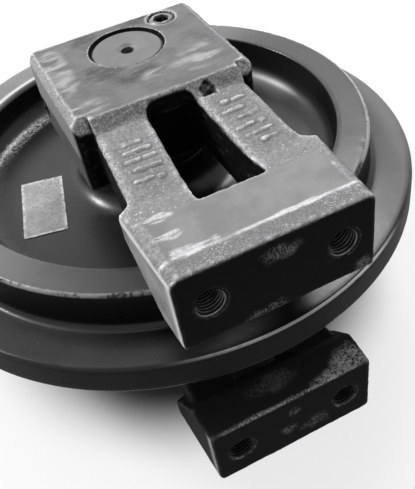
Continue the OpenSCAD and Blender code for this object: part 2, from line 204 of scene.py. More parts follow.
def readNormals(mesh):
    values = np.empty(len(mesh.vertices) * 3, np.float32)
    mesh.vertex_normals.foreach_get("vector", values)
    return values.reshape(-1, 3).astype(float)


def readEdges(mesh):
    values = np.empty(len(mesh.edges) * 2, np.int32)
    mesh.edges.foreach_get("vertices", values)
    return values.reshape(-1, 2)


def writeMasks(mesh, masks):
    for name, values in masks.items():
        layer = mesh.attributes.new(name, "FLOAT", "POINT")
        layer.data.foreach_set("value", np.clip(values, 0, 1).astype(np.float32))


def reshape(mesh, change):
    shape = bmesh.new()
    shape.from_mesh(mesh)
    change(shape)
    shape.to_mesh(mesh)
    shape.free()


def joinDoubles(shape):
    bmesh.ops.remove_doubles(shape, verts=shape.verts, dist=sameSpot)


def faceOut(shape):
    bmesh.ops.recalc_face_normals(shape, faces=shape.faces)


def turnOver(shape):  # mirrors it in the wheel's middle plane
    shape.transform(Matrix.Scale(-1, 4, (0, 0, 1)))
    bmesh.ops.reverse_faces(shape, faces=shape.faces)


def neighbourMean(values, edges):
    ends = np.concatenate([edges[:, 0], edges[:, 1]])
    others = np.concatenate([edges[:, 1], edges[:, 0]])
    total = len(values)
    count = np.maximum(np.bincount(ends, minlength=total), 1)
    columns = [np.bincount(ends, weights=column[others], minlength=total) for column in values.T]
    return np.stack(columns, axis=1) / count[:, None]


def blurred(values, edges, passes, keep):  # each pass keeps a share of the value before it
    for turn in range(passes):
        values = neighbourMean(values, edges) * (1 - keep) + values * keep
    return values


def settle(piece):  # the piece's modifiers become its mesh
    graph = bpy.context.evaluated_depsgraph_get()
    mesh = bpy.data.meshes.new_from_object(piece.evaluated_get(graph))
    piece.modifiers.clear()
    piece.data = mesh
    return mesh


def smoothShade(piece, angle):
    piece.data.shade_smooth()
    piece.data.set_sharp_from_angle(angle=math.radians(angle))


def step(values, low, high):  # smooth step from 0 at low to 1 at high
    share = np.clip((values - low) / (high - low), 0, 1)
    return share * share * (3 - 2 * share)


# numbers that stir the cells of the lattice noise
noiseKeys = {
    "cells": (73856093, 19349663, 83492791),
    "seed": 50331653,
    "stirs": ((13, 1274126177), (16, 668265263)),  # shift and factor
}


def cellValue(cells, seed):
    number = seed * noiseKeys["seed"]
    for cell, key in zip(cells, noiseKeys["cells"]):
        number = (cell * key) ^ number
    for shift, factor in noiseKeys["stirs"]:
        number = ((number ^ (number >> shift)) * factor) & 0xFFFFFFFF
    return ((number >> 8) & 0xFFFF) / 0x7FFF - 1


def grain(points, size, seed):  # lattice noise from -1 to 1
    spot = points / size
    base = np.floor(spot)
    part = spot - base
    part = part * part * (3 - 2 * part)
    base = base.astype(np.int64)
    total = np.zeros(len(points))
    for corner in range(8):
        pick = [(corner >> axis) & 1 for axis in range(3)]
        weight = np.ones(len(points))
        for axis in range(3):
            weight *= part[:, axis] if pick[axis] else 1 - part[:, axis]
        total += weight * cellValue([base[:, axis] + pick[axis] for axis in range(3)], seed)
    return total


def uneven(points, form, seed):  # noise of a given height and size
    height, size = form
    return height * grain(points, size, seed)


def ringFaces(first, second, steps):  # between two rings of points
    around = [(turn, (turn + 1) % steps) for turn in range(steps)]
    return [(first + turn, first + after, second + after, second + turn) for turn, after in around]


def turnedMesh(name, rings, steps, loop=False):  # rings of (radius, height) about Z
    angles = np.arange(steps) * 2 * math.pi / steps
    corners = [(r * math.cos(a), r * math.sin(a), z) for r, z in rings for a in angles]
    count = len(rings)
    faces = []
    for ring in range(count if loop else count - 1):
        faces += ringFaces(ring * steps, (ring + 1) % count * steps, steps)
    if not loop:
        faces.append(tuple(range(steps - 1, -1, -1)))
        faces.append(tuple(range((count - 1) * steps, count * steps)))
    return makePiece(name, corners, faces)


# guide wheel: the node's own profile, turned finely, with a cast and painted skin
wheelForm = {
    "steps": 432,
    "profileStep": 5 * mm,
    "waves": (0.16 * mm, 42 * mm),  # height and size of the casting's unevenness
    "ripples": (0.05 * mm, 11 * mm),
    "nicks": (0.7 * mm, 9 * mm),  # depth and size of the knocks on the edges
    "knocked": (0.55, 1.1),  # noise at which a knock begins and is deepest
    "rimEdge": (215 * mm, 57 * mm),  # radius and height of an edge
    "guideEdge": (256 * mm, 15.5 * mm),
    "lipEdge": (184.5 * mm, 56.5 * mm),
    "edgeFade": (2.0 * mm, 7 * mm),  # distances from an edge between which its wear ends
    "guideLine": (1.8 * mm, 2.8 * mm),
    "lipFade": (1.8 * mm, 3.2 * mm),
    "rimTop": (54 * mm, 56 * mm),  # heights between which the rim's face begins
    "smoothBore": (52 * mm, 62 * mm),  # nothing is uneven inside the first radius
    "sharpAngle": 32,
}


def readProfile(node):
    shape = bmesh.new()
    shape.from_mesh(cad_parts[node].data)
    joinDoubles(shape)
    cut = bmesh.ops.bisect_plane(shape, geom=shape.verts[:] + shape.edges[:] + shape.faces[:],
                                 plane_co=(0, 0, 0), plane_no=(0, 1, 0), dist=sameSpot)["geom_cut"]
    beside = {}
    for edge in cut:
        if isinstance(edge, bmesh.types.BMEdge) and min(v.co.x for v in edge.verts) > 0:
            first, second = edge.verts
            beside.setdefault(first, []).append(second)
            beside.setdefault(second, []).append(first)
    start = max(beside, key=lambda v: (round(v.co.x, 5), v.co.z))
    walk = [start, max(beside[start], key=lambda v: v.co.z)]
    while True:
        ahead = [v for v in beside[walk[-1]] if v is not walk[-2]][0]
        if ahead is start:
            break
        walk.append(ahead)
    profile = [(v.co.x, v.co.z) for v in walk]
    shape.free()
    return profile


def splitProfile(profile, longest):
    points = []
    for index, (r, z) in enumerate(profile):
        nextR, nextZ = profile[(index + 1) % len(profile)]
        count = max(1, math.ceil(math.hypot(nextR - r, nextZ - z) / longest))
        points += [(r + (nextR - r) * i / count, z + (nextZ - z) * i / count) for i in range(count)]
    return points


def makeWheel():
    form = wheelForm
    profile = splitProfile(readProfile("idler_wheel"), form["profileStep"])
    piece = turnedMesh("guideWheel", profile, form["steps"], loop=True)
    mesh = piece.data
    reshape(mesh, faceOut)
    points, normals = readPoints(mesh), readNormals(mesh)
    radius, height = np.hypot(points[:, 0], points[:, 1]), np.abs(points[:, 2])
    rimGap, guideGap, lipGap = (np.hypot(radius - form[name][0], height - form[name][1])
                                for name in ("rimEdge", "guideEdge", "lipEdge"))
    edge = np.maximum(1 - step(rimGap, *form["edgeFade"]), 0.5 - 0.5 * step(guideGap, *form["edgeFade"]))
    nickDepth, nickSize = form["nicks"]
    knocks = grain(points, nickSize, 8) + 0.6 * grain(points, nickSize / 3, 9)
    lift = uneven(points, form["waves"], 3) + uneven(points, form["ripples"], 4)
    lift -= nickDepth * step(knocks, *form["knocked"]) * edge
    cast = step(radius, *form["smoothBore"])
    writePoints(mesh, points + normals * (lift * cast)[:, None])
    upright = np.abs(normals[:, 2])
    writeMasks(mesh, {
        "guideLine": 1 - step(guideGap, *form["guideLine"]),
        "lip": 1 - step(lipGap, *form["lipFade"]),
        "edge": edge,
        "flat": step(upright, 0.55, 0.95),
        "wall": 1 - step(upright, 0.12, 0.45),
        "rim": step(upright, 0.8, 0.97) * step(height, *form["rimTop"]),
    })
    smoothShade(piece, form["sharpAngle"])
    return piece


wheel = makeWheel()
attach(wheel, "wheel")
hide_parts("idler_wheel")
print("guide wheel", len(wheel.data.polygons), "faces")


# brackets: the node's mesh remade as a sand-cast skin, with ground faces and clean bores
bracketForm = {
    "voxel": 1.5 * mm,
    "easing": (0.5, -0.52) * 3,  # weights, in and out by turns so that nothing shrinks
    "sand": (0.30 * mm, 4.2 * mm),  # height and size of the sand grain
    "lumps": (0.24 * mm, 19 * mm),
    "groundWaves": (0.05 * mm, 12 * mm),
    "blockGround": (146.4 * mm, 147.3 * mm),  # heights between which the ground face begins
    "footGroundStart": (206 * mm, 208 * mm),  # fades of the foot's ground face, from the shaft
    "footGroundEnd": (252.5 * mm, 254 * mm),
    "footGroundHalf": (69.5 * mm, 70.5 * mm),
    "strip": (252.5 * mm, 253.5 * mm),  # where the bevel beyond it starts
    "stripEdge": 254.1 * mm,  # rubbed line along the bevel
    "stripEdgeFade": (0.9 * mm, 2.2 * mm),
    "stripEdgeBreaks": 13 * mm,
    "blockFront": 88 * mm,
    "legs": (99 * mm, 184 * mm),
    "legFade": 4 * mm,
    "legMiddle": 42 * mm,
    "legSplay": 3.5,
    "besideLegs": (65.5 * mm, 68.5 * mm),
    "sideFaces": (76 * mm, 77.5 * mm),
    "reach": 272 * mm,
    "endFace": (270 * mm, 271 * mm),
    "bossRadius": (62 * mm, 66 * mm),
    "bossTop": (78 * mm, 81 * mm),
    "bareAbove": (100 * mm, 105 * mm),  # all paint below the first height, such as on the boss
    "rubDepth": (0.03 * mm, 0.2 * mm),  # bend of the skin at which an edge is rubbed
    "hollowDepth": (0.03 * mm, 0.22 * mm),
    "wearDepth": (0.012 * mm, 0.05 * mm),
    "sharpAngle": 48,
}
# raised cast marks on each leg, in mm: (along, across) of both ends and half width
castMarks = {
    -1: [(33, -8, 33, 5, 1.9), (43, -10, 43, 10, 1.7), (53, -11, 53, -2, 1.8), (53, 4, 53, 11, 1.8),
         (64, -7, 64, 12, 1.9), (76, -12, 76, 0, 1.7), (77, 7, 77, 9, 2.2)],
    1: [(27, -6, 27, -3, 2.2), (28, 3, 28, 11, 1.8), (39, -12, 39, 4, 1.8), (50, -4, 50, 12, 1.7),
        (61, -12, 61, 1, 1.9), (61, 8, 61, 10, 2.2), (72, -11, 72, 10, 1.7), (82, -2, 82, 9, 1.8)],
}
markForm = {
    "height": 1.2 * mm,
    "edge": (-0.5 * mm, 0.9 * mm),  # from full height to none
    "ragged": (0.8 * mm, 4 * mm),
    "faintSize": 9 * mm,  # size of the stretches where a mark is faint
    "foot": 1.2 * mm,  # distance of the painted shade line round a mark
    "footFade": (0.2 * mm, 1.1 * mm),
}
# worn and stained places, and places of painted light, in mm: middle and half sizes, along X and Y on the
# outer faces, X and Z on the end face
markedPlaces = {
    "outer": [(-66, 0, 13, 62), (-62, -72, 22, 14), (47, -54, 26, 24), (8, -58, 18, 9),
              (28, -252, 46, 2.4)],
    "strokes": [(-58, -210, 14, 7.5), (-60, -230, 19, 8), (-55, -249.5, 27, 7.5), (26, -253.5, 56, 4)],
    "upperEnd": [(5, 116, 19, 8), (-12, 66, 16, 6), (70, 66, 8, 9)],
    "lowerEnd": [(19, 112, 15, 11), (-5, 102, 10, 9), (0, 80, 7, 6)],
    # painted light: lighter patches on the lower bracket's inner face, where the wheel's shade ends
    "lowerInnerLit": [(64, -260, 20, 17), (40, -267, 26, 7), (0, -271, 84, 3)],
    "lowerInnerFaintLit": [(-6, -246, 26, 12)],
    "stains": [(-30, 34, 16, 17), (-30, -27, 24, 19), (-6, -50, 26, 12), (24, 40, 18, 10)],
}
placeForm = {
    "ragged": (0.4, 8 * mm),  # share of a place's half size, and size
    "fade": (0.35, 1.15),  # from fully worn to not at all
}
pitForm = {
    "middle": (34 * mm, -96 * mm),
    "radius": (2.125 * mm, 8.5 * mm),  # of its floor and of its edge
    "depth": 4 * mm,
    "squash": 1.3,
    "ragged": (2 * mm, 4 * mm),
    "crumbs": (1.4 * mm, 1.9 * mm),
    "above": 128 * mm,  # on the outer face only
}


def placeShare(points, places, axis):  # 1 in the middle of a place, 0 outside all of them
    most = np.zeros(len(points))
    ragged = uneven(points, placeForm["ragged"], 12)
    for x, other, halfX, halfOther in markedPlaces[places]:
        reach = np.hypot((points[:, 0] / mm - x) / halfX, (points[:, axis] / mm - other) / halfOther)
        most = np.maximum(most, 1 - step(reach + ragged, *placeForm["fade"]))
    return most


def markShape(points, side):  # height of the marks, and the painted shade line at their foot
    splay = math.radians(bracketForm["legSplay"])
    x = points[:, 0] * side - bracketForm["legMiddle"]
    y = -points[:, 1] - bracketForm["blockFront"]
    along = y * math.cos(splay) + x * math.sin(splay)
    across = (x * math.cos(splay) - y * math.sin(splay)) * side
    near = np.full(len(points), 1.0)
    for u0, v0, u1, v1, half in castMarks[side]:
        du, dv = (u1 - u0) * mm, (v1 - v0) * mm
        u, v = along - u0 * mm, across - v0 * mm
        share = np.clip((u * du + v * dv) / (du * du + dv * dv), 0, 1)
        near = np.minimum(near, np.hypot(u - share * du, v - share * dv) - half * mm)
    near += uneven(points, markForm["ragged"], 51)
    faint = 0.5 + 0.5 * step(grain(points, markForm["faintSize"], 52), -0.7, 0.3)
    onSide = (points[:, 0] * side > 0) * faint
    foot = 1 - step(np.abs(near - markForm["foot"]), *markForm["footFade"])
    return markForm["height"] * (1 - step(near, *markForm["edge"])) * onSide, foot * onSide


def pitShape(points):  # 1 in the casting pit, with a ragged edge
    x, y = pitForm["middle"]
    gap = np.hypot(points[:, 0] - x, (points[:, 1] - y) * pitForm["squash"])
    gap += uneven(points, pitForm["ragged"], 7) + uneven(points, pitForm["crumbs"], 10)
    return (1 - step(gap, *pitForm["radius"])) * (points[:, 2] > pitForm["above"])


def slopeMasks(points, normals, facing):  # the block's front slopes, and those of them beside the legs, which get painted light
    form = bracketForm
    slope = facing * (1 - step(normals[:, 2], 0.78, 0.93)) * step(-normals[:, 1], 0.3, 0.6)
    slope *= points[:, 1] > -form["legs"][0] - form["legFade"]
    return slope, slope * step(np.abs(points[:, 0]), *form["besideLegs"])


def legMask(points, normals, ground):  # outer faces of the legs
    start, end = bracketForm["legs"]
    fade = bracketForm["legFade"]
    reach = -points[:, 1]
    along = step(reach, start, start + fade) * (1 - step(reach, end - fade, end))
    return step(normals[:, 2], 0.7, 0.95) * (1 - ground) * along


def groundMask(points, normals):  # block's outer face and the foot's ground face
    form = bracketForm
    out = step(normals[:, 2], 0.9, 0.99)
    reach = -points[:, 1]
    block = out * step(points[:, 2], *form["blockGround"])
    foot = out * step(reach, *form["footGroundStart"]) * (1 - step(reach, *form["footGroundEnd"]))
    foot *= 1 - step(np.abs(points[:, 0]), *form["footGroundHalf"])
    return np.maximum(block, foot)


def sideMasks(points, normals):  # machined end face and sides
    form = bracketForm
    end = step(-points[:, 1], *form["endFace"]) * step(-normals[:, 1], 0.8, 0.95)
    sides = step(np.abs(normals[:, 0]), 0.85, 0.97) * step(np.abs(points[:, 0]), *form["sideFaces"])
    return end, sides


# bores, cut clean when the skin is made: rings of radius and height along each bore
boreForm = {
    "shaft": [(33.0 * mm, 40 * mm), (33.0 * mm, 146.2 * mm), (34.6 * mm, 147.8 * mm),
              (34.6 * mm, 152 * mm)],
    "bolt": [(13.3 * mm, 131.2 * mm), (13.3 * mm, 152 * mm)],
    "boltPlace": (46 * mm, 30.5 * mm),
    "pin": [(9.4 * mm, -90 * mm), (9.4 * mm, 90 * mm)],
    "pinPlace": (30.5 * mm, 100 * mm),  # beside the shaft, and above the wheel's middle plane
    "yoke": [(13.9 * mm, -2 * mm), (13.9 * mm, 0.2 * mm), (12.4 * mm, 1.7 * mm), (12.4 * mm, 50.2 * mm),
             (0.4 * mm, 57.4 * mm)],
    "yokePlace": (53 * mm, 97 * mm),
    "steps": {"shaft": 160, "bolt": 72, "pin": 64, "yoke": 72},  # round each bore
}


def boreTools():  # each cutter, with the way it lies
    toX = Matrix.Rotation(math.radians(90), 4, "Y")
    toY = Matrix.Rotation(math.radians(-90), 4, "X")
    tools = [
        ("shaft", Matrix.Identity(4)),
        ("bolt", Matrix.Translation((*boreForm["boltPlace"], 0))),
        ("pin", Matrix.Translation((0, *boreForm["pinPlace"])) @ toX),
    ]
    across, height = boreForm["yokePlace"]
    for side in (-1, 1):
        place = Matrix.Translation((side * across, -bracketForm["reach"], height))
        tools.append(("yoke", place @ toY))
    return tools


def cutBores(piece):
    for name, place in boreTools():
        tool = turnedMesh(name + "Tool", boreForm[name], boreForm["steps"][name])
        tool.data.transform(place)
        cut = piece.modifiers.new(name, "BOOLEAN")
        cut.operation = "DIFFERENCE"
        cut.solver = "MANIFOLD"
        cut.object = tool
        settle(piece)
        bpy.data.objects.remove(tool)


def makeSkin(piece, flip, seed):  # an even mesh, with the sand, the marks and the pit raised or sunk in it
    form = bracketForm
    skin = piece.modifiers.new("skin", "REMESH")
    skin.mode = "VOXEL"
    skin.voxel_size = form["voxel"]
    mesh = settle(piece)
    points, edges = readPoints(mesh), readEdges(mesh)
    for weight in form["easing"]:
        points += weight * (neighbourMean(points, edges) - points)
    writePoints(mesh, points)
    normals = readNormals(mesh)
    ground = groundMask(points, normals)
    end, sides = sideMasks(points, normals)
    boss = 1 - step(np.hypot(points[:, 0], points[:, 1]), *form["bossRadius"])
    boss *= 1 - step(points[:, 2], *form["bossTop"])  # machined, with the spigot
    rough = (1 - ground) * (1 - 0.85 * end) * (1 - 0.75 * sides) * (1 - boss)
    sandHeight, sandSize = form["sand"]
    sand = grain(points, sandSize, seed) + 0.6 * grain(points, sandSize * 0.55, seed + 1)
    lift = rough * (sandHeight * sand + uneven(points, form["lumps"], seed + 2))
    lift += ground * uneven(points, form["groundWaves"], seed + 3)
    onLegs = legMask(points, normals, ground)
    for side in (-1, 1):
        lift += onLegs * markShape(points, side)[0]
    if not flip:
        lift -= pitForm["depth"] * pitShape(points)
    writePoints(mesh, points + normals * lift[:, None])


def markWear(mesh, flip, seed):  # masks for the finish
    form = bracketForm
    points, normals, edges = readPoints(mesh), readNormals(mesh), readEdges(mesh)
    ground = groundMask(points, normals)
    end, sides = sideMasks(points, normals)
    bend = np.einsum("ij,ij->i", points - neighbourMean(points, edges), normals)
    rub = blurred(bend[:, None], edges, 2, 0.5)
    wear = blurred(rub, edges, 20, 0)[:, 0]
    rub = rub[:, 0]
    facing = step(normals[:, 2], 0.02, 0.5) * step(points[:, 2], *form["bareAbove"])
    slope, corner = slopeMasks(points, normals, facing)
    endScuff = end * placeShare(points, "lowerEnd" if flip else "upperEnd", 2)
    scuff = np.maximum(facing * placeShare(points, "outer", 1), endScuff)
    if flip:
        inward = step(-normals[:, 2], 0.3, 0.7)
        # painted light on the lower bracket's inner face
        scuff = np.maximum(scuff, inward * placeShare(points, "lowerInnerLit", 1))
        scuff = np.maximum(scuff, 0.2 * inward * placeShare(points, "lowerInnerFaintLit", 1))
    stripEdge = 1 - step(np.abs(points[:, 1] + form["stripEdge"]), *form["stripEdgeFade"])
    stripEdge *= facing * step(grain(points, form["stripEdgeBreaks"], seed + 5), -0.5, 0.3)
    markFoot = legMask(points, normals, ground) * (markShape(points, -1)[1] + markShape(points, 1)[1])
    writeMasks(mesh, {
        "scuff": scuff,
        "stroke": facing * placeShare(points, "strokes", 1),
        "stain": ground * placeShare(points, "stains", 1),
        "strip": facing * step(-points[:, 1], *form["strip"]),
        "slope": slope,
        "corner": corner,
        "wear": facing * step(wear, *form["wearDepth"]),
        "pit": np.zeros(len(points)) if flip else pitShape(points),
        "ground": ground,
        "end": end,
        "sides": sides,
        "outward": facing,
        "rub": np.maximum(step(rub, *form["rubDepth"]), stripEdge),
        "hollow": np.maximum(step(-rub, *form["hollowDepth"]), 0.6 * markFoot),
    })


def makeBracket(node, name, flip, seed):
    piece = newPiece(name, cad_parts[node].data.copy())
    reshape(piece.data, joinDoubles)
    if flip:  # the lower bracket is worked on as an upper one
        reshape(piece.data, turnOver)
    makeSkin(piece, flip, seed)
    cutBores(piece)
    markWear(piece.data, flip, seed)
    if flip:
        reshape(piece.data, turnOver)
    smoothShade(piece, bracketForm["sharpAngle"])
    return piece


brackets = []
for node, name, flip, seed in (("upper_bracket", "upperCasting", False, 20),
                               ("lower_bracket", "lowerCasting", True, 40)):
    casting = makeBracket(node, name, flip, seed)
    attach(casting, "frame")
    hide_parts(node)
    brackets.append(casting)
    print(name, len(casting.data.polygons), "faces")


# threads of the four yoke holes
threadForm = {
    "minor": 10.5 * mm,
    "major": 12.0 * mm,
    "outer": 12.36 * mm,
    "wall": 0.05 * mm,  # least thickness, at the lead-in
    "pitch": 3 * mm,
    "crest": 0.12,  # shares of the pitch: flat crest, and both flanks
    "flanks": 0.7,
    "length": 46 * mm,
    "sink": 0.9 * mm,  # start below the foot's end face
    "turnSteps": 64,
    "pitchSteps": 12,
    "lit": (6 * mm, 30 * mm),  # depths between which the painted highlight on the crests fades into painted shade
    "sharpAngle": 25,
}


def threadPoint(radius, depth, turn):
    angle = 2 * math.pi * turn / threadForm["turnSteps"]
    return (radius * math.cos(angle), threadForm["sink"] + depth, radius * math.sin(angle))


def makeThread(name, x, z, shine):
    form = threadForm
    steps = form["turnSteps"]
    rows = int(form["length"] / form["pitch"] * form["pitchSteps"])
    corners, crestHighlights = [], []
    for row in range(rows + 1):
        depth = form["length"] * row / rows
        mouth = form["outer"] - depth  # the lead-in cone
        # painted highlight on the crests, fading deeper in the hole into painted shade
        light = shine * (1 - step(depth, *form["lit"]))
        for turn in range(steps):
            phase = (depth / form["pitch"] - turn / steps) % 1
            tooth = min(max((abs(phase - 0.5) * 2 - form["crest"]) / form["flanks"], 0), 1)
            radius = form["minor"] + (form["major"] - form["minor"]) * tooth
            radius = min(max(radius, mouth), form["outer"] - form["wall"])
            corners.append(threadPoint(radius, depth, turn))
            crestHighlights.append(light * (1 - tooth) ** 4)
    for depth in (form["length"], 0):  # back along the outside
        corners += [threadPoint(form["outer"], depth, turn) for turn in range(steps)]
        crestHighlights += [0] * steps
    faces = []
    for ring in range(rows + 3):
        faces += ringFaces(ring * steps, (ring + 1) % (rows + 3) * steps, steps)
    piece = makePiece(name, corners, faces)
    reshape(piece.data, faceOut)
    piece.data.transform(Matrix.Translation((x, -bracketForm["reach"], z)))
    writeMasks(piece.data, {"crest": np.array(crestHighlights, float)})
    smoothShade(piece, form["sharpAngle"])
    return piece


threads = []
yokeX, yokeZ = boreForm["yokePlace"]
for side, sideName in ((-1, "Left"), (1, "Right")):
    # the lower threads get less painted highlight
    for level, levelName, shine in ((1, "upper", 1), (-1, "lower", 0.15)):
        thread = makeThread(levelName + sideName + "Thread", side * yokeX, level * yokeZ, shine)
        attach(thread, "frame")
        threads.append(thread)
print("threads", len(threads))


# blank sticker on the web
stickerForm = {
    "width": 42 * mm,
    "length": 85 * mm,
    "thick": 0.25 * mm,
    "middle": (-119 * mm, 1.7 * mm),
    "turn": -13.0,
    "rest": 18.25 * mm,  # height of its underside
    "wrinkle": 0.35 * mm,
    "folds": (13 * mm, 5 * mm),  # sizes of the wrinkles
    "curl": (0.5 * mm, 3 * mm, 16 * mm),  # height, width and length of the lifted edges
    "ragged": (0.5 * mm, 2.6 * mm),  # depth and size of the tears
    "tornWithin": 0.3 * mm,  # of the edge
    "border": (1 * mm, 3.4 * mm),  # where the pale border ends
    "grubby": (-130 * mm, -100 * mm),  # more flecks towards the hub
    "grid": (22, 44),
    "sharpAngle": 40,
}


def stickerFaces(across, along):  # top, underside and the rim between them
    wide = across + 1
    count = wide * (along + 1)
    faces = []
    for row in range(along):
        for column in range(across):
            a = row * wide + column
            b, c, d = a + 1, a + wide + 1, a + wide
            faces += [(a + count, b + count, c + count, d + count), (d, c, b, a)]
    rim = list(range(wide))
    rim += [row * wide + across for row in range(1, along + 1)]
    rim += [along * wide + column for column in range(across - 1, -1, -1)]
    rim += [row * wide for row in range(along - 1, 0, -1)]
    for index, first in enumerate(rim):
        second = rim[(index + 1) % len(rim)]
        faces.append((first, second, second + count, first + count))
    return faces


def makeSticker():
    form = stickerForm
    across, along = form["grid"]
    flat = np.array([(form["width"] * (column / across - 0.5), form["length"] * (row / along - 0.5), 0)
                     for row in range(along + 1) for column in range(across + 1)])
    border = np.minimum(form["width"] / 2 - np.abs(flat[:, 0]), form["length"] / 2 - np.abs(flat[:, 1]))
    wide, narrow = form["folds"]
    folds = grain(flat, wide, 31) * 0.7 + grain(flat, narrow, 32) * 0.5
    curlHeight, curlWidth, curlLength = form["curl"]
    curl = curlHeight * (1 - step(border, 0, curlWidth)) * step(grain(flat, curlLength, 33), 0.0, 0.8)
    lift = form["wrinkle"] * step(folds, 0.1, 0.9) + curl
    torn = np.abs(uneven(flat, form["ragged"], 34)) * (border < form["tornWithin"])
    flat[:, :2] -= np.sign(flat[:, :2]) * torn[:, None]
    low, high = flat.copy(), flat.copy()
    low[:, 2] = lift
    high[:, 2] = lift + form["thick"]
    piece = makePiece("blankSticker", np.concatenate([low, high]), stickerFaces(across, along))
    writeMasks(piece.data, {"border": np.tile(1 - step(border, *form["border"]), 2)})
    turn = Matrix.Rotation(math.radians(form["turn"]), 4, "Z")
    piece.data.transform(Matrix.Translation((*form["middle"], form["rest"])) @ turn)
    smoothShade(piece, form["sharpAngle"])
    return piece


sticker = makeSticker()
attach(sticker, "wheel")
print("sticker")


# wheel paint: where it is dusty, worn, lumpy or glossy, and where painted sheen, highlights and shade lie,
# each a fade from the first place to the second
wheelWearAndLight = {
    "right": (60 * mm, 160 * mm),
    "rimDustSheenLeft": (-190 * mm, -80 * mm),
    "rimDustSheenBack": (80 * mm, 200 * mm),
    "guideDustAndSheen": (100 * mm, 240 * mm),
    "guideStart": (215 * mm, 221 * mm),  # radii
    # radii from the guide's painted shade by the rim to its dusty outer part
    "guideDustAndShade": (225 * mm, 249 * mm),
    "lineFront": (-225 * mm, -190 * mm),  # the guide's worn edge and its painted highlight end here
    "lineLeft": (-100 * mm, 0),
    "lipHighlightBack": (60 * mm, 120 * mm),
    "ringStart": (157 * mm, 163 * mm),  # radii of the dust and painted highlight in the fillet
    "ringEnd": (167 * mm, 172 * mm),
    "ringBack": (155 * mm, 185 * mm),
    "ringLeft": (-60 * mm, -30 * mm),
    "dishStart": (154 * mm, 166 * mm),  # radii of the web's fillet
    "dishEnd": (177 * mm, 181 * mm),
    "smooth": (-30 * mm, 30 * mm),
    "glossy": (-60 * mm, -20 * mm),
}


